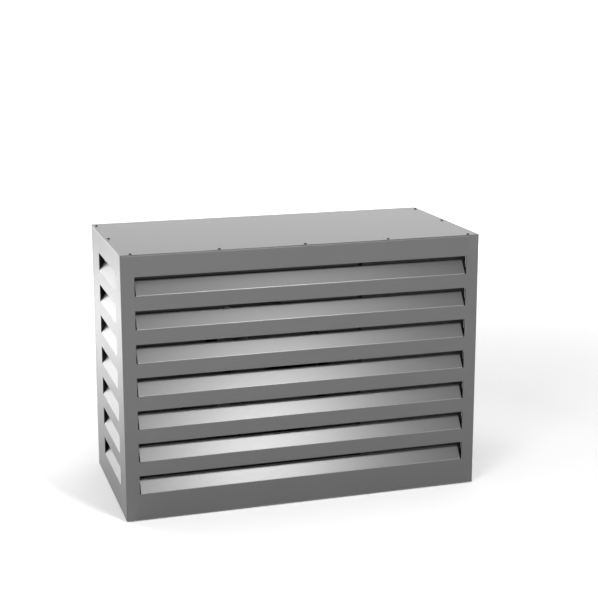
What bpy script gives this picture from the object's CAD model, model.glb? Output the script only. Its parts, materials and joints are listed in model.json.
"""The looks of a pool heat pump in a louvred sheet-metal casing.

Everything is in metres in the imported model's own frame: +Z up, front towards -Y, origin on the floor.
Visible sheet metal, screws, the coil, the fan and the rear and side fittings are rebuilt here with their
folds, fins and rounded edges. The rest of the works keeps its CAD shape, with rounded edges and its own
material.
"""

import json
import math

import bmesh
import bpy
from mathutils import Matrix, Vector


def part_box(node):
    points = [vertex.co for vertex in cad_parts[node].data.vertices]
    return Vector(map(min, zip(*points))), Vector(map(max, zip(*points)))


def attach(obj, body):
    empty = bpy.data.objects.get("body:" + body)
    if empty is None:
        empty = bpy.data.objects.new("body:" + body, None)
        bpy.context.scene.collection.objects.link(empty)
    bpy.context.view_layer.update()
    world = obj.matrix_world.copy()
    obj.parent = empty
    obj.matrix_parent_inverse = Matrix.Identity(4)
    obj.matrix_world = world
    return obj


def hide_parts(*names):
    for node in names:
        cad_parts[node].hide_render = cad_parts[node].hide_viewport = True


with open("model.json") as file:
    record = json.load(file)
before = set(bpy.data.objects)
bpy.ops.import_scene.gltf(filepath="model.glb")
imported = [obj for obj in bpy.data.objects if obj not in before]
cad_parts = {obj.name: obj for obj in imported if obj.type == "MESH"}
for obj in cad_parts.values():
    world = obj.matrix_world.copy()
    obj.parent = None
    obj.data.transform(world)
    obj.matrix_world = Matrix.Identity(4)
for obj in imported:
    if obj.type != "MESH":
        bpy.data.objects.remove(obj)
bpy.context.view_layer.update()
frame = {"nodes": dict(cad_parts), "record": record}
NODES = frame["nodes"]

MM = 0.001
X = Vector((1, 0, 0))
Y = Vector((0, 1, 0))
Z = Vector((0, 0, 1))

# ---------------------------------------------------------------- sizes shared with the CAD model
SHEET = 2 * MM
BEND = 4 * MM
LOUVRES = 7
LOUVRE_PITCH = 99 * MM
SLOT_HEIGHT = 55 * MM
SLOT_BOTTOM = 84 * MM
BLADE = 47 * MM
BLADE_TILT = math.radians(33)
BLADE_RADIUS = 4 * MM
BLADE_SIDE_GAP = 4 * MM
SLOT_INSET = 40 * MM
SIDE_SLOT_FRONT = 90 * MM
SIDE_SLOT_BACK = 140 * MM
RETURN = 30 * MM
FLANGE = 25 * MM
FLANGE_RADIUS = 2.5 * MM
SCREW_HEAD = 2.5 * MM
BACK_SCREW_HEIGHTS = (35 * MM, 252 * MM, 448 * MM, 765 * MM)
BACK_SCREW_HEAD = 1.15 * MM
BACK_SCREW_SEAT = 1.3 * MM  # underside of the heads below the panel's face
COIL_THICKNESS = 38 * MM
COIL_RADIUS = 98 * MM
FIN_PITCH = 2.4 * MM
TUBE_PITCH = 25.4 * MM
TUBE_ROWS = 19 * MM


# ---------------------------------------------------------------- mesh helpers
def new_object(name, bm, body, material, replaces=(), smooth=False):
    """Turns a bmesh into a named piece that rides on a body and stands for CAD nodes."""
    mesh = bpy.data.meshes.new(name)
    bmesh.ops.delete(bm, geom=[v for v in bm.verts if not v.link_faces], context="VERTS")
    bm.to_mesh(mesh)
    bm.free()
    for face in mesh.polygons:
        face.use_smooth = smooth
    if smooth:
        mesh.set_sharp_from_angle(angle=math.radians(35))
    piece = bpy.data.objects.new(name, mesh)
    bpy.context.scene.collection.objects.link(piece)
    mesh.materials.append(material)
    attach(piece, body)
    if replaces:
        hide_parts(*replaces)
    return piece


def bevel(piece, width, segments=2, angle=40):
    """Rounds the sharp edges of a piece."""
    rounding = piece.modifiers.new("rounded_edges", "BEVEL")
    rounding.width = width
    rounding.segments = segments
    rounding.limit_method = "ANGLE"
    rounding.angle_limit = math.radians(angle)
    rounding.harden_normals = False
    return rounding


def thicken(piece, thickness):
    """Gives a sheet its thickness, away from its outer face."""
    sheet = piece.modifiers.new("sheet", "SOLIDIFY")
    sheet.thickness = thickness
    sheet.offset = -1
    sheet.use_even_offset = True
    return sheet


def basis(axis):
    """Two directions across an axis, then the axis."""
    across = {"x": (Y, Z, X), "y": (Z, X, Y), "z": (X, Y, Z)}
    return across[axis]


def lathe(bm, profile, axis, centre, segments=32, wave=None):
    """Adds a turned body to bm: (radius, height) pairs along an axis, closed at both ends on the axis.

    wave(angle, radius) may change the radius round the turn, for ribs and hexagons.
    """
    u, v, w = basis(axis)
    centre = Vector(centre)
    rings = []
    for radius, height in profile:
        if radius < 1e-7:
            rings.append([bm.verts.new(centre + w * height)])
            continue
        ring = []
        for k in range(segments):
            a = 2 * math.pi * k / segments
            r = wave(a, radius) if wave else radius
            ring.append(bm.verts.new(centre + (u * math.cos(a) + v * math.sin(a)) * r + w * height))
        rings.append(ring)
    made = []
    for low, high in zip(rings, rings[1:]):
        for k in range(segments):
            n = (k + 1) % segments
            corners = [low[k % len(low)], low[n % len(low)], high[n % len(high)], high[k % len(high)]]
            distinct = list(dict.fromkeys(corners))
            if len(distinct) > 2:
                made.append(bm.faces.new(distinct))
    return made


def turned(name, profile, axis, centre, body, material, replaces=(), segments=32, wave=None):
    """A smooth turned piece."""
    bm = bmesh.new()
    lathe(bm, profile, axis, centre, segments, wave)
    bmesh.ops.recalc_face_normals(bm, faces=bm.faces)
    return new_object(name, bm, body, material, replaces, smooth=True)


def hexagon(angle, flat):
    """Radius of a hexagon with the given half width across its flats."""
    return flat / math.cos((angle % (math.pi / 3)) - math.pi / 6)


def block(bm, low, high):
    """Adds a closed box to bm."""
    low, high = Vector(low), Vector(high)
    size = high - low
    made = bmesh.ops.create_cube(bm, size=1)["verts"]
    bmesh.ops.scale(bm, vec=size, verts=made)
    bmesh.ops.translate(bm, vec=(low + high) / 2, verts=made)


def tube(bm, points, radius, sides=8):
    """Adds a closed tube along points to bm."""
    points = [Vector(p) for p in points]
    rings = []
    normal = None
    for i, point in enumerate(points):
        ahead = points[min(i + 1, len(points) - 1)] - points[max(i - 1, 0)]
        ahead.normalize()
        if normal is None:
            normal = ahead.orthogonal().normalized()
        normal = (normal - ahead * normal.dot(ahead)).normalized()
        side = ahead.cross(normal)
        angles = [2 * math.pi * k / sides for k in range(sides)]
        ways = [normal * math.cos(a) + side * math.sin(a) for a in angles]
        rings.append([bm.verts.new(point + way * radius) for way in ways])
    for low, high in zip(rings, rings[1:]):
        for k in range(sides):
            n = (k + 1) % sides
            bm.faces.new((low[k], low[n], high[n], high[k]))
    bm.faces.new(list(reversed(rings[0])))
    bm.faces.new(rings[-1])


def arc(centre, radius, start, end, steps):
    """Points on a flat arc, angles in degrees."""
    angles = [math.radians(start + (end - start) * i / steps) for i in range(steps + 1)]
    return [Vector((centre[0] + radius * math.cos(a), centre[1] + radius * math.sin(a))) for a in angles]


# ---------------------------------------------------------------- materials
class Shader:
    """A Principled material with helpers for the procedural textures that feed it."""

    def __init__(self, name, color, roughness, metallic=0.0, coat=0.0):
        self.material = bpy.data.materials.new(name)
        self.material.use_nodes = True
        self.tree = self.material.node_tree
        self.bsdf = self.tree.nodes["Principled BSDF"]
        self.color = color
        self.roughness = roughness
        self.set(self.bsdf, "Base Color", (*color, 1))
        self.set(self.bsdf, "Roughness", roughness)
        self.set(self.bsdf, "Metallic", metallic)
        self.set(self.bsdf, "Coat Weight", coat)
        self.place = self.tree.nodes.new("ShaderNodeTexCoord").outputs["Object"]
        self.normal = None

    def set(self, node, socket, value):
        node.inputs[socket].default_value = value

    def link(self, output, node, socket):
        self.tree.links.new(output, node.inputs[socket])

    def stretched(self, scale):
        mapping = self.tree.nodes.new("ShaderNodeMapping")
        self.link(self.place, mapping, "Vector")
        self.set(mapping, "Scale", scale)
        return mapping.outputs["Vector"]

    def noise(self, scale, detail=3, rough=0.5, stretch=None):
        node = self.tree.nodes.new("ShaderNodeTexNoise")
        self.link(self.stretched(stretch) if stretch else self.place, node, "Vector")
        self.set(node, "Scale", scale)
        self.set(node, "Detail", detail)
        self.set(node, "Roughness", rough)
        return node.outputs["Fac"]

    def cells(self, scale, output="Distance"):
        node = self.tree.nodes.new("ShaderNodeTexVoronoi")
        self.link(self.place, node, "Vector")
        self.set(node, "Scale", scale)
        return node.outputs[output]

    def ramp(self, factor, low, high, at=(0.3, 0.7)):
        """Maps a factor to a grey or a colour between two ends."""
        node = self.tree.nodes.new("ShaderNodeMapRange")
        self.link(factor, node, "Value")
        self.set(node, "From Min", at[0])
        self.set(node, "From Max", at[1])
        self.set(node, "To Min", low)
        self.set(node, "To Max", high)
        return node.outputs["Result"]

    def mix(self, factor, a, b):
        node = self.tree.nodes.new("ShaderNodeMix")
        node.data_type = "RGBA"
        self.link(factor, node, "Factor")
        sockets = [s for s in node.inputs if s.type == "RGBA"]
        for socket, value in zip(sockets, (a, b)):
            if isinstance(value, tuple):
                socket.default_value = (*value, 1)
            else:
                self.tree.links.new(value, socket)
        return [s for s in node.outputs if s.type == "RGBA"][0]

    def worn(self, radius, amount):
        """0 on flat faces, towards 1 on rounded or sharp edges."""
        soft = self.tree.nodes.new("ShaderNodeBevel")
        soft.samples = 4
        self.set(soft, "Radius", radius)
        flat = self.tree.nodes.new("ShaderNodeNewGeometry")
        dot = self.tree.nodes.new("ShaderNodeVectorMath")
        dot.operation = "DOT_PRODUCT"
        self.link(soft.outputs["Normal"], dot, 0)
        self.link(flat.outputs["Normal"], dot, 1)
        return self.ramp(dot.outputs["Value"], amount, 0.0, at=(0.75, 0.98))

    def layer(self, name):
        """The value of a mesh layer."""
        node = self.tree.nodes.new("ShaderNodeAttribute")
        node.attribute_name = name
        return node.outputs["Fac"]

    def paint(self, factor, low, high):
        """Colours the surface between two shades by a factor."""
        return self.mix(factor, tuple(c * low for c in self.color), tuple(c * high for c in self.color))

    def use_color(self, output):
        self.link(output, self.bsdf, "Base Color")

    def use_roughness(self, factor, low, high):
        self.link(self.ramp(factor, low, high), self.bsdf, "Roughness")

    def bump(self, height, distance, strength=1.0):
        node = self.tree.nodes.new("ShaderNodeBump")
        self.set(node, "Strength", strength)
        self.set(node, "Distance", distance)
        self.link(height, node, "Height")
        if self.normal is not None:
            self.link(self.normal, node, "Normal")
        self.normal = node.outputs["Normal"]
        self.link(self.normal, self.bsdf, "Normal")


def powder_coat():
    """Satin grey coat: orange peel, a fine metallic fleck, faint cloudiness, lighter edges and bends."""
    coat = Shader("powder_coat", (0.092, 0.092, 0.092), 0.34, metallic=0.6)
    cloud = coat.paint(coat.noise(3.5, 4), 0.94, 1.06)
    flakes = coat.ramp(coat.cells(2600, "Distance"), 0.0, 0.16, at=(0.2, 0.6))
    fleck = coat.mix(flakes, cloud, (0.16, 0.16, 0.16))
    rubbed = coat.mix(coat.worn(1.2 * MM, 0.45), fleck, (0.26, 0.26, 0.26))
    bent = coat.ramp(coat.layer("fold"), 0.0, 0.6, at=(0.0, 1.0))
    coat.use_color(coat.mix(bent, rubbed, (0.30, 0.30, 0.30)))
    coat.use_roughness(coat.noise(900, 2), 0.31, 0.38)
    coat.bump(coat.noise(650, 3), 0.00004, 0.35)
    return coat.material


def galvanised():
    """Zinc coating with its spangle and a dull bloom."""
    zinc = Shader("galvanised_sheet", (0.52, 0.53, 0.54), 0.42, metallic=0.9)
    spangle = zinc.paint(zinc.cells(110, "Distance"), 0.82, 1.1)
    zinc.use_color(zinc.mix(zinc.ramp(zinc.noise(9, 5), 0.0, 0.45), spangle, (0.44, 0.44, 0.45)))
    zinc.use_roughness(zinc.cells(110, "Distance"), 0.34, 0.52)
    zinc.bump(zinc.noise(420, 4), 0.00003, 0.4)
    return zinc.material


def enamel():
    """Black stove enamel, a little dusty."""
    bare = (0.008, 0.008, 0.009)
    black = Shader("black_enamel", bare, 0.38)
    black.set(black.bsdf, "Specular IOR Level", 0.35)
    dust = black.ramp(black.noise(26, 6), 0.0, 0.22)
    coated = black.mix(dust, bare, (0.036, 0.035, 0.033))
    black.use_color(black.mix(black.worn(1.0 * MM, 0.5), coated, (0.10, 0.10, 0.10)))
    black.use_roughness(black.noise(140, 3), 0.32, 0.5)
    black.bump(black.noise(520, 3), 0.00004, 0.4)
    return black.material


def turned_steel(name, color, roughness):
    """Machined or blackened steel with fine turning marks."""
    steel = Shader(name, color, roughness, metallic=1.0)
    edges = steel.worn(0.5 * MM, 0.6)
    shade = steel.paint(steel.noise(320, 4), 0.85, 1.12)
    steel.use_color(steel.mix(edges, shade, tuple(min(1.0, c * 2.2 + 0.05) for c in color)))
    steel.use_roughness(steel.noise(900, 3, stretch=(1, 1, 6)), roughness * 0.8, roughness * 1.25)
    steel.bump(steel.noise(1800, 2, stretch=(1, 1, 8)), 0.00002, 0.35)
    return steel.material


def fin_aluminium():
    """Thin bare aluminium with a faint blue-grey bloom in patches."""
    clean = (0.58, 0.59, 0.60)
    fin = Shader("fin_aluminium", clean, 0.36, metallic=1.0)
    fin.use_color(fin.mix(fin.ramp(fin.noise(14, 5), 0.0, 0.5), clean, (0.40, 0.41, 0.42)))
    fin.use_roughness(fin.noise(60, 3), 0.3, 0.5)
    fin.bump(fin.noise(240, 2, stretch=(1, 1, 0.2)), 0.00005, 0.3)
    return fin.material


def copper_tube():
    """Drawn copper with a brown tarnish in patches."""
    clean = (0.72, 0.33, 0.17)
    copper = Shader("copper_tube", clean, 0.3, metallic=1.0)
    tarnish = copper.ramp(copper.noise(34, 6), 0.0, 0.75)
    copper.use_color(copper.mix(tarnish, clean, (0.30, 0.15, 0.09)))
    copper.use_roughness(copper.noise(60, 4), 0.24, 0.48)
    copper.bump(copper.noise(700, 2), 0.00002, 0.3)
    return copper.material


def brass():
    """Machined brass with dull patches."""
    clean = (0.60, 0.44, 0.18)
    metal = Shader("machined_brass", clean, 0.3, metallic=1.0)
    metal.use_color(metal.mix(metal.ramp(metal.noise(40, 5), 0.0, 0.6), clean, (0.33, 0.24, 0.11)))
    metal.use_roughness(metal.noise(110, 3), 0.22, 0.42)
    metal.bump(metal.noise(1200, 2), 0.00002, 0.3)
    return metal.material


def moulded(name, color, roughness, grain=0.00006, scale=900):
    """Moulded plastic with a spark-eroded grain and lighter rubbed edges."""
    plastic = Shader(name, color, roughness)
    light = tuple(min(1.0, c * 1.5 + 0.012) for c in color)
    shade = plastic.paint(plastic.noise(18, 4), 0.9, 1.1)
    plastic.use_color(plastic.mix(plastic.worn(0.8 * MM, 0.5), shade, light))
    plastic.use_roughness(plastic.noise(scale * 0.5, 3), roughness * 0.88, roughness * 1.14)
    plastic.bump(plastic.cells(scale), grain, 0.35)
    return plastic.material


def rubber():
    """Dull black rubber with a chalky bloom."""
    clean = (0.014, 0.014, 0.015)
    soft = Shader("moulded_rubber", clean, 0.82)
    soft.set(soft.bsdf, "Specular IOR Level", 0.15)
    soft.use_color(soft.mix(soft.ramp(soft.noise(48, 6), 0.0, 0.6), clean, (0.036, 0.035, 0.033)))
    soft.use_roughness(soft.noise(220, 3), 0.74, 0.92)
    soft.bump(soft.noise(640, 4), 0.00012, 0.5)
    return soft.material


def circuit_board():
    """Green lacquered board with lighter track lines."""
    lacquer = (0.02, 0.12, 0.05)
    board = Shader("circuit_board", lacquer, 0.4, coat=0.4)
    tracks = board.ramp(board.cells(220, "Distance"), 0.0, 1.0, at=(0.5, 0.58))
    board.use_color(board.mix(tracks, lacquer, (0.05, 0.22, 0.10)))
    board.use_roughness(board.noise(90, 3), 0.32, 0.5)
    board.bump(board.cells(220), 0.0001, 0.4)
    return board.material


def tinted_window():
    """Smoked glossy window with hairline scratches."""
    pane = Shader("display_window", (0.008, 0.011, 0.014), 0.07, coat=1.0)
    pane.use_color(pane.paint(pane.noise(30, 3), 0.8, 1.3))
    pane.use_roughness(pane.noise(400, 4, stretch=(1, 9, 1)), 0.05, 0.16)
    pane.bump(pane.noise(900, 2, stretch=(1, 8, 1)), 0.00001, 0.2)
    return pane.material


def enamelled(name, color):
    """A small glossy enamelled part."""
    gloss = Shader(name, color, 0.32, coat=0.3)
    gloss.use_color(gloss.paint(gloss.noise(240, 4), 0.9, 1.08))
    gloss.use_roughness(gloss.noise(600, 3), 0.26, 0.4)
    gloss.bump(gloss.noise(1500, 2), 0.00001, 0.3)
    return gloss.material


def clear_glass():
    """The gauge's clear cover."""
    glass = Shader("gauge_glass", (1, 1, 1), 0.03)
    glass.set(glass.bsdf, "Transmission Weight", 1.0)
    glass.set(glass.bsdf, "IOR", 1.45)
    glass.use_roughness(glass.noise(90, 3), 0.01, 0.05)
    return glass.material


FINISH = {
    "casing": powder_coat(),
    "screw": turned_steel("blackened_steel", (0.055, 0.055, 0.057), 0.42),
    "galvanised": galvanised(),
    "fins": fin_aluminium(),
    "dark_paint": enamel(),
    "steel": turned_steel("turned_steel", (0.42, 0.42, 0.43), 0.3),
    "fan_plastic": moulded("fan_plastic", (0.018, 0.018, 0.02), 0.5),
    "brass": brass(),
    "copper": copper_tube(),
    "grey_plastic": moulded("grey_plastic", (0.12, 0.125, 0.13), 0.34, scale=1400),
    "black_plastic": moulded("black_plastic", (0.016, 0.017, 0.018), 0.46),
    "needle": enamelled("red_enamel", (0.42, 0.02, 0.012)),
    "board": circuit_board(),
    "window": tinted_window(),
    "key_plastic": moulded("key_plastic", (0.17, 0.175, 0.18), 0.55),
    "rubber": rubber(),
}
DIAL_WHITE = enamelled("dial_white", (0.8, 0.8, 0.78))
DIAL_BLACK = enamelled("dial_black", (0.015, 0.015, 0.015))
ICON_LIGHT = enamelled("icon_light", (0.62, 0.62, 0.62))


def dress_cad_nodes():
    """Gives every CAD node its slot's material, and rounded edges that catch the light."""
    for entry in frame["record"]["subparts"]:
        node = NODES[entry["node"]]
        node.data.materials.clear()
        node.data.materials.append(FINISH[entry["material_slot"]])
        node.data.polygons.foreach_set("use_smooth", [True] * len(node.data.polygons))
        weld = node.modifiers.new("weld", "WELD")
        weld.merge_threshold = 0.00002
        bevel(node, 0.5 * MM, segments=2, angle=50)
        shading = node.modifiers.new("even_shading", "WEIGHTED_NORMAL")
        shading.weight = 80


# ---------------------------------------------------------------- folded sheet metal
def fold(bm, edge, onward, inward, angle, radius, reach, steps=4, swap=False):
    """Bends sheet from a row of vertices through an angle, then runs on for its reach.

    The "fold" layer is 1 in the middle of the bend and 0 on the flats, for the coat to lighten it.
    """
    bent = bm.verts.layers.float["fold"]
    row = edge
    for k in range(1, steps + 2):
        a = angle * min(k, steps) / steps
        step = inward * radius * (1 - math.cos(a)) + onward * radius * math.sin(a)
        if k > steps:
            step += (inward * math.sin(angle) + onward * math.cos(angle)) * reach
        ahead = [bm.verts.new(v.co + step) for v in edge]
        for vertex in ahead:
            vertex[bent] = math.sin(math.pi * k / steps) if k < steps else 0.0
        for i in range(len(row) - 1):
            corners = [row[i], row[i + 1], ahead[i + 1], ahead[i]]
            bm.faces.new(corners[::-1] if swap else corners)
        row = ahead


def dimple(bm, corners, middle, inward):
    """Fills a square cell of a panel with a round pressed seat for a screw head."""
    steps = 6
    sides = [(v.co - middle).normalized() for v in corners]
    rings = []
    for radius, depth in ((6.4, 0), (5.9, 0.25), (5.5, 1.1), (5.2, 1.35)):
        ring = []
        for k in range(4):
            for i in range(steps):
                way = (sides[k].lerp(sides[(k + 1) % 4], i / steps)).normalized()
                ring.append(bm.verts.new(middle + way * radius * MM + inward * depth * MM))
        rings.append(ring)
    for k in range(4):
        rim = [rings[0][(k * steps + i) % (4 * steps)] for i in range(steps + 1)]
        bm.faces.new([corners[k], corners[(k + 1) % 4], *reversed(rim)])
    for outer, inner in zip(rings, rings[1:]):
        for i in range(4 * steps):
            n = (i + 1) % (4 * steps)
            bm.faces.new((outer[i], outer[n], inner[n], inner[i]))
    bm.faces.new(rings[-1])


def louvred_panel(name, node, before, flat, after, inward, slots, hole=None, seats=()):
    """A folded panel.

    before and after are the plan points of its bent ends, flat the start and end of its face. slots is
    (start, end) of the louvre slots along the face, hole is (start, end, bottom, top) of a cut-out, seats are
    (distance along, height) of pressed screw seats. Each slot has a blade folded inwards from its lower edge,
    as in the CAD model.
    """
    low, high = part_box(node)
    begin, finish = (Vector(p) for p in flat)
    along = (finish - begin).normalized()
    length = (finish - begin).length
    marks = {0.0, length}
    if slots:
        marks |= {slots[0], slots[0] + BLADE_SIDE_GAP, slots[1] - BLADE_SIDE_GAP, slots[1]}
    if hole:
        marks |= {hole[0], hole[1]}
    half_seat = 8 * MM
    for u, _ in seats:
        marks |= {u - half_seat, u + half_seat}
    marks = sorted(marks)
    points = [Vector(p) for p in before] + [begin + along * m for m in marks] + [Vector(p) for p in after]
    first = len(before)
    last = first + len(marks) - 1

    rise = BLADE_RADIUS * math.tan(BLADE_TILT / 2)
    bottoms = [SLOT_BOTTOM + k * LOUVRE_PITCH - rise for k in range(LOUVRES)] if slots else []
    tops = [b + rise + SLOT_HEIGHT for b in bottoms]
    levels = {low.z, low.z + FLANGE_RADIUS, high.z - FLANGE_RADIUS, high.z, *bottoms, *tops}
    if hole:
        levels |= {hole[2], hole[3]}
    for _, z in seats:
        levels |= {z - half_seat, z + half_seat}
    levels = sorted(levels)

    def is_open(i, j):
        if not first <= i < last:
            return False
        if j in (0, len(levels) - 2):
            return True
        u = (marks[i - first] + marks[i - first + 1]) / 2
        z = (levels[j] + levels[j + 1]) / 2
        in_slot = slots and slots[0] < u < slots[1] and any(b < z < t for b, t in zip(bottoms, tops))
        in_hole = hole and hole[0] < u < hole[1] and hole[2] < z < hole[3]
        return bool(in_slot or in_hole)

    bm = bmesh.new()
    bm.verts.layers.float.new("fold")
    rows = [[bm.verts.new((p.x, p.y, z)) for p in points] for z in levels]
    for j in range(len(levels) - 1):
        for i in range(len(points) - 1):
            if is_open(i, j):
                continue
            corners = (rows[j][i], rows[j][i + 1], rows[j + 1][i + 1], rows[j + 1][i])
            middle = (corners[0].co + corners[2].co) / 2
            u = (middle.xy - begin).dot(along)
            if any(abs(u - seat) < MM and abs(middle.z - z) < MM for seat, z in seats):
                dimple(bm, corners, middle, inward)
            else:
                bm.faces.new(corners)

    face = slice(first, last + 1)
    flange = FLANGE - FLANGE_RADIUS
    fold(bm, rows[-2][face], Z, inward, math.pi / 2, FLANGE_RADIUS, flange)
    fold(bm, rows[1][face], -Z, inward, math.pi / 2, FLANGE_RADIUS, flange, swap=True)
    if slots:
        from_i = first + marks.index(slots[0] + BLADE_SIDE_GAP)
        to_i = first + marks.index(slots[1] - BLADE_SIDE_GAP)
        for bottom in bottoms:
            edge = rows[levels.index(bottom)][from_i:to_i + 1]
            fold(bm, edge, Z, inward, BLADE_TILT, BLADE_RADIUS, BLADE - rise, steps=5)

    panel = new_object(name, bm, "unit", FINISH["casing"], (node,))
    thicken(panel, SHEET)
    bevel(panel, 0.35 * MM, segments=2, angle=50)
    return panel


def casing():
    """The four standing panels, each folded from one sheet, and the top."""
    low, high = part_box("front_panel")
    half, front = high.x, low.y
    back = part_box("back_panel")[1].y
    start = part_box("left_side_panel")[0].y
    side_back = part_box("left_side_panel")[1].y

    left_bend = arc((-half + BEND, front + BEND), BEND, 180, 270, 6)
    right_bend = arc((half - BEND, front + BEND), BEND, 270, 360, 6)
    before = [(-half, front + RETURN)] + left_bend[:-1]
    after = right_bend[1:] + [(half, front + RETURN)]
    ends = (left_bend[-1], right_bend[0])
    slots = (SLOT_INSET - BEND, 2 * half - SLOT_INSET - BEND)
    louvred_panel("front_casing_panel", "front_panel", before, ends, after, Y, slots)

    face_from, face_to = front + SIDE_SLOT_FRONT, back - SIDE_SLOT_BACK
    corner = side_back - BEND
    bend = arc((-half + BEND, corner), BEND, 90, 180, 6)
    before = [(-half + RETURN, side_back)] + bend[:-1]
    slots = (corner - face_to, corner - face_from)
    louvred_panel("left_casing_panel", "left_side_panel", before, (bend[-1], (-half, start)), [], X, slots)

    bend = arc((half - BEND, corner), BEND, 0, 90, 6)
    after = bend[1:] + [(half - RETURN, side_back)]
    slots = (face_from - start, face_to - start)
    keypad_low, keypad_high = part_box("keypad_cover")
    edge = 1.0 * MM
    hole = (keypad_low.y - edge - start, keypad_high.y + edge - start,
            keypad_low.z - edge, keypad_high.z + 2 * edge)
    flat = ((half, start), bend[0])
    louvred_panel("right_casing_panel", "right_side_panel", [], flat, after, -X, slots, hole)

    left_end, right_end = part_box("back_panel")[0].x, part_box("back_panel")[1].x
    coil_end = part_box("coil_fin_pack")[1].x
    bay_low, bay_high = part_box("connection_bay")
    rim = 15 * MM
    right_rim = 17 * MM
    slots = (right_end - coil_end, right_end + half - SLOT_INSET)
    hole = (right_end - bay_high.x + right_rim, right_end - bay_low.x - rim, bay_low.z + rim, bay_high.z - rim)
    flange_middle = right_end - half + RETURN / 2
    columns = (flange_middle, right_end - left_end - flange_middle)
    seats = [(u, z) for u in columns for z in BACK_SCREW_HEIGHTS]
    flat = ((right_end, back), (left_end, back))
    louvred_panel("back_casing_panel", "back_panel", [], flat, [], -Y, slots, hole, seats)
    for k, (u, z) in enumerate(seats):
        seat = Vector((right_end - u, back - BACK_SCREW_SEAT, z))
        screw_head(f"back_screw_{k + 1}", seat, "y", BACK_SCREW_HEAD, "unit")
    top_sheet()


def top_sheet():
    """The flat top, with rounded corners and a softly broken edge."""
    low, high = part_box("top_panel")
    turns = [(high.x, high.y, 0), (low.x, high.y, 90), (low.x, low.y, 180), (high.x, low.y, 270)]
    outline = []
    for x, y, a in turns:
        centre = (x - math.copysign(BEND, x), y - math.copysign(BEND, y))
        outline += arc(centre, BEND, a, a + 90, 6)
    bm = bmesh.new()
    rim = [bm.verts.new((p.x, p.y, high.z)) for p in outline]
    bm.faces.new(rim)
    sheet = new_object("top_casing_panel", bm, "top", FINISH["casing"], ("top_panel",))
    thicken(sheet, high.z - low.z)
    bevel(sheet, 0.5 * MM, segments=3, angle=50)


def screw_head(name, seat, axis, height, body, replaces=()):
    """A button head with a hexagon socket, standing on its seat."""
    r = 4.7 * MM
    rim = 0.2 * height
    crown = [(r * math.cos(a), rim + (height - rim) * math.sin(a) / math.sin(math.radians(65)))
             for a in (math.radians(13 * k) for k in range(6))]
    depth = min(1.4 * MM, 0.75 * height)
    profile = [(0, 0), (r, 0), *crown, (1.9 * MM, height - 0.1 * MM), (1.88 * MM, height - depth),
               (0, height - depth - 0.1 * MM)]

    def socket(angle, radius):
        return hexagon(angle, 1.5 * MM) if radius < 1.91 * MM else radius

    turned(name, profile, axis, seat, body, FINISH["screw"], replaces, 24, socket)


def top_screws():
    """The nine screws that hold the top."""
    for k in range(1, 10):
        low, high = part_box(f"top_screw_{k}")
        seat = Vector(((low.x + high.x) / 2, (low.y + high.y) / 2, high.z - SCREW_HEAD))
        screw_head(f"top_screw_head_{k}", seat, "z", SCREW_HEAD, "top", (f"top_screw_{k}",))


# ---------------------------------------------------------------- coil
def coil_path(depth):
    """Plan points of the coil's bend at a depth from its outer face, with the direction out of it."""
    low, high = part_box("coil_fin_pack")
    centre = Vector((low.x + COIL_RADIUS, high.y - COIL_RADIUS))
    radius = COIL_RADIUS - depth
    straight_back = high.x - centre.x
    bend = radius * math.pi / 2
    straight_side = centre.y - low.y
    total = straight_back + bend + straight_side

    def at(s):
        if s < straight_back:
            return Vector((high.x - s, centre.y + radius)), Vector((0, 1))
        if s < straight_back + bend:
            a = math.pi / 2 + (s - straight_back) / radius
            out = Vector((math.cos(a), math.sin(a)))
            return centre + out * radius, out
        return Vector((centre.x - radius, centre.y - (s - straight_back - bend))), Vector((-1, 0))

    return at, total


def coil():
    """Thin upright fins on copper tubes, bent round the corner."""
    low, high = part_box("coil_fin_pack")
    middle = COIL_THICKNESS / 2
    at, total = coil_path(middle)
    bm = bmesh.new()
    thin = 0.12 * MM
    count = int(total / FIN_PITCH)
    for k in range(count + 1):
        point, out = at(0.3 * MM + k * (total - 0.6 * MM) / count)
        ahead = Vector((-out.y, out.x)) * thin
        reach = out * (middle - 0.2 * MM)
        inner, outer = point - reach, point + reach
        corners = [inner - ahead, inner + ahead, outer + ahead, outer - ahead]
        bottom = [bm.verts.new((c.x, c.y, low.z)) for c in corners]
        top = [bm.verts.new((c.x, c.y, high.z)) for c in corners]
        bm.faces.new(bottom[::-1])
        bm.faces.new(top)
        for i in range(4):
            n = (i + 1) % 4
            bm.faces.new((bottom[i], bottom[n], top[n], top[i]))
    bmesh.ops.recalc_face_normals(bm, faces=bm.faces)
    new_object("coil_fins", bm, "unit", FINISH["fins"], ("coil_fin_pack",))

    bm = bmesh.new()
    rows = int((high.z - low.z) / TUBE_PITCH)
    for row, side in enumerate((-1, 1)):
        at, total = coil_path(middle + side * TUBE_ROWS / 2)
        route = [at(total * i / 40)[0] for i in range(41)]
        for k in range(rows):
            z = low.z + TUBE_PITCH * (k + 0.35 + 0.35 * row)
            tube(bm, [(p.x, p.y, z) for p in route], 4.6 * MM, sides=8)
    new_object("coil_tubes", bm, "unit", FINISH["copper"], smooth=True)


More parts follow.
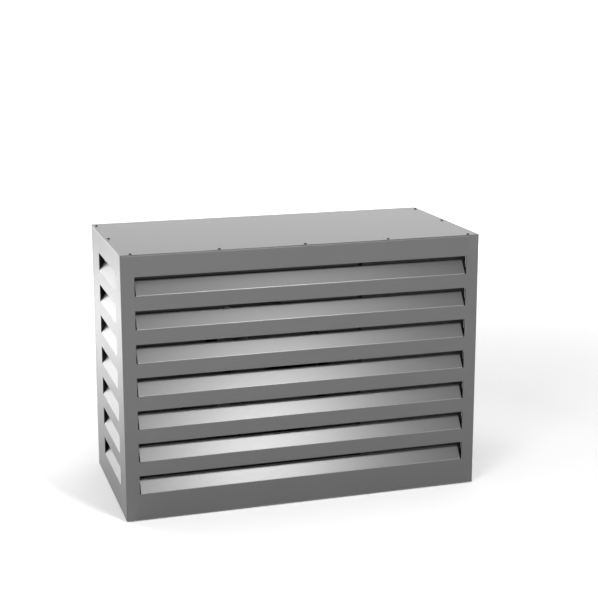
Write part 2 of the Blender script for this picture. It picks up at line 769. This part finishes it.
# ---------------------------------------------------------------- fan
def fan():
    """Three swept blades on a domed hub. Each blade is a curved sheet with a rounded edge."""
    low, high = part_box("fan_rotor")
    shaft = (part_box("motor_shaft")[0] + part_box("motor_shaft")[1]) / 2
    tip = 228 * MM
    hub = 52 * MM
    front, back = low.y, high.y
    across, out = 16, 14
    bm = bmesh.new()
    for blade in range(3):
        grid = []
        for i in range(across + 1):
            s = i / across
            line = []
            for j in range(out + 1):
                t = j / out
                radius = hub + (tip - hub) * t
                sweep = math.radians(s * (62 + 26 * t) - 18 * t)
                a = blade * 2 * math.pi / 3 + sweep
                y = front + 8 * MM + 52 * MM * s + 10 * MM * math.sin(math.pi * s) + 1.6 * MM
                x, z = shaft.x + radius * math.sin(a), shaft.z + radius * math.cos(a)
                line.append(bm.verts.new((x, y, z)))
            grid.append(line)
        for i in range(across):
            for j in range(out):
                bm.faces.new((grid[i][j], grid[i + 1][j], grid[i + 1][j + 1], grid[i][j + 1]))
    blades = new_object("fan_blades", bm, "fan", FINISH["fan_plastic"], smooth=True)
    sheet = thicken(blades, 3.0 * MM)
    sheet.offset = 0
    bevel(blades, 1.0 * MM, segments=3, angle=50)

    ribs = 12

    def ribbed(angle, radius):
        return radius - 1.2 * MM * (math.cos(ribs * angle) > 0.93)

    length = back - front
    profile = [(7 * MM, 0), (26 * MM, 0), (34 * MM, 1.5 * MM), (40 * MM, 5 * MM), (53 * MM, 16 * MM),
               (57 * MM, 22 * MM), (58 * MM, 30 * MM), (58 * MM, length), (54 * MM, length), (54 * MM, 26 * MM),
               (16 * MM, 12 * MM), (16 * MM, length - 8 * MM), (7 * MM, length - 8 * MM), (7 * MM, 0)]
    turned("fan_hub", profile, "y", (shaft.x, front, shaft.z), "fan",
           FINISH["fan_plastic"], ("fan_rotor",), 72, ribbed)


def liners():
    """Thin black foam-faced sheets behind the louvres of the compressor compartment."""
    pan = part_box("base_pan")[1].z + 3 * MM
    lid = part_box("control_box_lid")[1].z
    box_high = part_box("control_box")[1]
    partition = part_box("partition_plate")[0]
    blades_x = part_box("right_side_panel")[1].x - SHEET - BLADE * math.sin(BLADE_TILT)
    blades_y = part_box("front_panel")[0].y + SHEET + BLADE * math.sin(BLADE_TILT)
    keypad_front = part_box("keypad_housing")[0].y
    sheets = {
        "front_foam_liner": ((partition.x, blades_y + 1 * MM, pan), (box_high.x, partition.y - 1 * MM, lid)),
        "side_foam_liner": ((box_high.x + 0.4 * MM, blades_y + 8 * MM, pan),
                            (blades_x - 0.3 * MM, keypad_front - 4 * MM, lid)),
    }
    for name, (low, high) in sheets.items():
        bm = bmesh.new()
        block(bm, low, high)
        sheet = new_object(name, bm, "unit", FINISH["rubber"])
        bevel(sheet, 0.4 * MM)


# ---------------------------------------------------------------- rear connections
def unions():
    """Ribbed union nuts and socketed tails at the two water ports."""
    for name in ("inlet", "outlet"):
        low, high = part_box(f"{name}_union_nut")
        centre = (low + high) / 2
        length = high.y - low.y
        outer = (high.x - low.x) / 2
        teeth = 24

        def grip(angle, radius):
            if radius < outer - 2.6 * MM:
                return radius
            return radius - 1.5 * MM * (0.5 - 0.5 * math.cos(teeth * angle)) ** 2

        tail_low, tail_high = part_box(f"{name}_union_tail")
        collar = tail_high.x - (tail_low.x + tail_high.x) / 2
        inside = collar + 1.2 * MM
        tail = 29.5 * MM
        mouth = tail + 0.8 * MM
        profile = [(inside, 0), (outer - 3 * MM, 0), (outer - 0.8 * MM, 1.5 * MM), (outer, 3 * MM),
                   (outer, length - 7 * MM), (outer - 0.6 * MM, length - 5 * MM),
                   (outer - 3.2 * MM, length - 3.6 * MM), (outer - 4.6 * MM, length - 0.8 * MM),
                   (outer - 5.6 * MM, length), (mouth, length), (mouth, length - 15 * MM),
                   (inside, length - 15 * MM), (inside, 0)]
        turned(f"{name}_ribbed_nut", profile, "y", (centre.x, low.y, centre.z), f"{name}_nut",
               FINISH["black_plastic"], (f"{name}_union_nut",), 144, grip)

        length = tail_high.y - tail_low.y
        bead = tail + 0.9 * MM
        profile = [(22 * MM, 0), (collar, 0), (collar, 5 * MM), (tail, 5 * MM), (tail, length - 5.5 * MM),
                   (bead, length - 5 * MM), (bead, length - 0.8 * MM), (tail + 0.3 * MM, length),
                   (26.0 * MM, length), (25.1 * MM, length - 1.2 * MM), (25.1 * MM, length - 30 * MM),
                   (22 * MM, length - 30 * MM), (22 * MM, 0)]
        turned(f"{name}_pipe_socket", profile, "y", (centre.x, tail_low.y, centre.z), "unit",
               FINISH["grey_plastic"], (f"{name}_union_tail",), 64)


def gauge():
    """A small pressure gauge: bezel, white dial with graduations, and a clear cover over the red needle."""
    low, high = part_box("pressure_gauge")
    centre = (low + high) / 2
    axis = (centre.x, low.y, centre.z)
    depth = high.y - low.y
    cup = [(0, 0), (27.5 * MM, 0), (29 * MM, 1 * MM), (29 * MM, depth - 8 * MM), (30 * MM, depth - 7.2 * MM),
           (30 * MM, depth - 1.6 * MM), (29 * MM, depth - 0.3 * MM), (28 * MM, depth),
           (26.8 * MM, depth - 0.4 * MM),
           (26 * MM, depth - 1.6 * MM), (26 * MM, depth - 10 * MM), (0, depth - 10 * MM)]
    turned("gauge_case", cup, "y", axis, "unit", FINISH["dark_paint"], ("pressure_gauge",), 64)
    face = depth - 9.95 * MM
    turned("gauge_dial", [(0, face), (25.9 * MM, face), (25.9 * MM, face + 0.5 * MM), (0, face + 0.5 * MM)],
           "y", axis, "unit", DIAL_WHITE, segments=64)
    bm = bmesh.new()
    steps = 50
    for k in range(steps + 1):
        a = math.radians(135 - 270 * k / steps)
        long = 5.5 * MM if k % 10 == 0 else 3.5 * MM if k % 5 == 0 else 2.2 * MM
        wide = 0.35 * MM if k % 5 == 0 else 0.16 * MM
        made = bmesh.ops.create_cube(bm, size=1)["verts"]
        bmesh.ops.scale(bm, vec=(2 * wide, 0.12 * MM, long), verts=made)
        bmesh.ops.translate(bm, vec=(0, 0, 23.6 * MM - long / 2), verts=made)
        bmesh.ops.rotate(bm, cent=(0, 0, 0), matrix=Matrix.Rotation(a, 3, "Y"), verts=made)
        bmesh.ops.translate(bm, vec=Vector(axis) + Y * (face + 0.55 * MM), verts=made)
    new_object("gauge_graduations", bm, "unit", DIAL_BLACK)
    pane = depth - 2.6 * MM
    domed = [(0, pane), (25.9 * MM, pane), (25.9 * MM, pane + 0.9 * MM), (12 * MM, pane + 1.5 * MM),
             (0, pane + 1.7 * MM)]
    turned("gauge_cover", domed, "y", axis, "unit", clear_glass(), segments=64)


def gland():
    """A cable gland with a hexagon body and a ribbed dome nut, open for the cable."""
    low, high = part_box("cable_gland")
    centre = (low + high) / 2
    axis = (centre.x, low.y, centre.z)
    length = high.y - low.y

    def shape(angle, radius):
        if radius > 12.6 * MM:
            return hexagon(angle, 13 * MM)
        if radius > 11.5 * MM:
            return radius - 0.7 * MM * (math.cos(20 * angle) > 0.4)
        return radius

    profile = [(6.5 * MM, 0), (13 * MM, 0), (13 * MM, 7.4 * MM), (11 * MM, 8 * MM), (11 * MM, 9.4 * MM),
               (12 * MM, 10 * MM), (12 * MM, length - 9 * MM), (10.8 * MM, length - 4 * MM),
               (9.2 * MM, length - 0.6 * MM), (8.2 * MM, length), (7.2 * MM, length - 0.5 * MM),
               (6.5 * MM, length - 3 * MM), (6.5 * MM, 0)]
    turned("gland_body", profile, "y", axis, "unit", FINISH["black_plastic"],
           ("cable_gland",), 60, shape)


# ---------------------------------------------------------------- keypad
def icon_bars(bm, centre, bars):
    """Flat raised marks on a button's face. Each bar is (y, z, half width, half height, turn in degrees)."""
    for y, z, wide, high, turn in bars:
        made = bmesh.ops.create_cube(bm, size=1)["verts"]
        bmesh.ops.scale(bm, vec=(0.24 * MM, 2 * wide * MM, 2 * high * MM), verts=made)
        bmesh.ops.rotate(bm, cent=(0, 0, 0), matrix=Matrix.Rotation(math.radians(turn), 3, "X"), verts=made)
        bmesh.ops.translate(bm, vec=centre + Vector((0, y, z)) * MM, verts=made)


def keypad():
    """Domed buttons with plain marks."""
    arrow_up = [(-0.9, 0, 0.35, 1.7, -38), (0.9, 0, 0.35, 1.7, 38)]
    arrow_down = [(-0.9, 0, 0.35, 1.7, 38), (0.9, 0, 0.35, 1.7, -38)]
    lines = [(0, 1.5, 2.0, 0.3, 0), (0, 0, 2.0, 0.3, 0), (0, -1.5, 2.0, 0.3, 0)]
    circle = [(2.3 * math.sin(math.radians(a)), 2.3 * math.cos(math.radians(a)), 0.5, 0.3, -a)
              for a in range(40, 330, 20)]
    power = circle + [(0, 1.9, 0.3, 1.3, 0)]
    icons = {"power": power, "mode": lines, "down": arrow_down, "up": arrow_up}
    for name, bars in icons.items():
        low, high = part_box(f"button_{name}")
        centre = (low + high) / 2
        reach = high.x - low.x
        profile = [(0, 0), (8.6 * MM, 0), (8.8 * MM, 0.3 * MM), (8.8 * MM, 2.8 * MM), (8.6 * MM, 3 * MM),
                   (7 * MM, 3 * MM), (7 * MM, reach - 1.6 * MM), (6.7 * MM, reach - 0.8 * MM),
                   (6.1 * MM, reach - 0.35 * MM),
                   (4 * MM, reach - 0.28 * MM), (0, reach - 0.24 * MM)]
        body = f"{name}_button"
        turned(f"{name}_key", profile, "x", (low.x, centre.y, centre.z), body,
               FINISH["key_plastic"], (f"button_{name}",), 48)
        bm = bmesh.new()
        icon_bars(bm, Vector((high.x - 0.15 * MM, centre.y, centre.z)), bars)
        new_object(f"{name}_key_mark", bm, body, ICON_LIGHT)


# ---------------------------------------------------------------- studio
def floor():
    """A wide pale floor that fades to a white ground further off."""
    bm = bmesh.new()
    bmesh.ops.create_grid(bm, x_segments=1, y_segments=1, size=300)
    mesh = bpy.data.meshes.new("floor")
    bm.to_mesh(mesh)
    bm.free()
    ground = bpy.data.objects.new("floor", mesh)
    bpy.context.scene.collection.objects.link(ground)
    pale = Shader("floor_paper", (0.9, 0.9, 0.9), 0.9)
    pale.use_color(pale.paint(pale.noise(1.2, 2), 0.995, 1.005))
    span = pale.tree.nodes.new("ShaderNodeVectorMath")
    span.operation = "LENGTH"
    pale.link(pale.place, span, 0)
    pale.set(pale.bsdf, "Emission Color", (1, 1, 1, 1))
    pale.link(pale.ramp(span.outputs["Value"], 0.0, 0.8, at=(1.2, 5.6)), pale.bsdf, "Emission Strength")
    mesh.materials.append(pale.material)


def sun(name, towards, strength, spread):
    """A broad distant light that shines along a direction."""
    light = bpy.data.lights.new(name, "SUN")
    light.energy = strength
    light.angle = math.radians(spread)
    made = bpy.data.objects.new(name, light)
    made.rotation_euler = Vector(towards).to_track_quat("-Z", "Y").to_euler()
    bpy.context.scene.collection.objects.link(made)


def softbox(name, place, aim, size, power):
    """A rectangular light aimed at a point."""
    light = bpy.data.lights.new(name, "AREA")
    light.shape = "RECTANGLE"
    light.size, light.size_y = size
    light.energy = power
    made = bpy.data.objects.new(name, light)
    made.location = place
    made.rotation_euler = (Vector(aim) - Vector(place)).to_track_quat("-Z", "Y").to_euler()
    bpy.context.scene.collection.objects.link(made)


def studio():
    """Walls of light all round, low down, and a small one overhead, with five softboxes and a broad light.

    The streak box makes the bright patch on the lower blades. The floor box lights the ground behind, which
    the left side mirrors. The front left box lights the ground in front.
    """
    softbox("streak_box", (0.62, -2.4, 2.3), (-0.1, -0.26, 0.3), (0.5, 0.4), 51)
    softbox("rear_left_box", (-2.2, 2.4, 1.1), (-0.4, 0.0, 0.4), (2.2, 1.8), 22)
    softbox("rear_box", (1.2, 3.6, 1.2), (0.0, 0.0, 0.5), (3.0, 2.0), 18)
    softbox("front_left_box", (-2.2, -2.6, 2.2), (0.0, -0.6, 0.0), (1.2, 1.2), 45)
    softbox("floor_box", (-1.9, 2.0, 0.78), (-1.9, 2.0, 0.0), (1.6, 2.6), 62)
    sun("front_top_light", (0.0, 0.37, -0.93), 0.6, 50)

    world = bpy.data.worlds.new("studio")
    bpy.context.scene.world = world
    world.use_nodes = True
    tree = world.node_tree
    way = tree.nodes.new("ShaderNodeSeparateXYZ")
    tree.links.new(tree.nodes.new("ShaderNodeTexCoord").outputs["Generated"], way.inputs[0])

    def fade(axis, start, end, low, high):
        node = tree.nodes.new("ShaderNodeMapRange")
        tree.links.new(way.outputs[axis], node.inputs["Value"])
        for socket, value in zip(("From Min", "From Max", "To Min", "To Max"), (start, end, low, high)):
            node.inputs[socket].default_value = value
        return node.outputs["Result"]

    def combine(operation, a, b):
        node = tree.nodes.new("ShaderNodeMath")
        node.operation = operation
        tree.links.new(a, node.inputs[0])
        tree.links.new(b, node.inputs[1])
        return node.outputs[0]

    left_wall = combine("MULTIPLY", fade("X", -0.2, 0.0, 1.7, 0.0), fade("Z", 0.16, 0.34, 1.0, 0.0))
    left_wall = combine("MULTIPLY", left_wall, fade("Y", 0.0, 0.5, 0.3, 1.0))
    right_wall = combine("MULTIPLY", fade("X", 0.5, 0.7, 0.0, 1.0), fade("Z", 0.36, 0.52, 1.0, 0.0))
    front_and_back = combine("MULTIPLY", fade("Y", -0.1, 0.1, 1.4, 1.3), fade("Z", 0.26, 0.42, 1.0, 0.0))
    light = tree.nodes["Background"]
    light.inputs["Color"].default_value = (1, 1, 1, 1)
    overhead = fade("Z", 0.86, 0.93, 0.0, 1.1)
    walls = combine("ADD", combine("ADD", left_wall, right_wall), combine("ADD", front_and_back, overhead))
    tree.links.new(walls, light.inputs["Strength"])
    bpy.context.scene.view_settings.view_transform = "Standard"


def camera():
    """Looks at the front from the left, a little from above."""
    turn, rise = math.radians(17.26), math.radians(12.14)
    aim = Vector((0.069, 0.037, 0.659))
    away = Vector((-math.sin(turn) * math.cos(rise), -math.cos(turn) * math.cos(rise), math.sin(rise)))
    lens = bpy.data.cameras.new("camera")
    lens.lens = 81.5
    lens.shift_y = -0.05
    view = bpy.data.objects.new("camera", lens)
    view.location = aim + away * 4.28
    view.rotation_euler = (-away).to_track_quat("-Z", "Y").to_euler()
    bpy.context.scene.collection.objects.link(view)
    bpy.context.scene.camera = view


camera()
dress_cad_nodes()
casing()
top_screws()
coil()
fan()
liners()
unions()
gauge()
gland()
keypad()
floor()
studio()
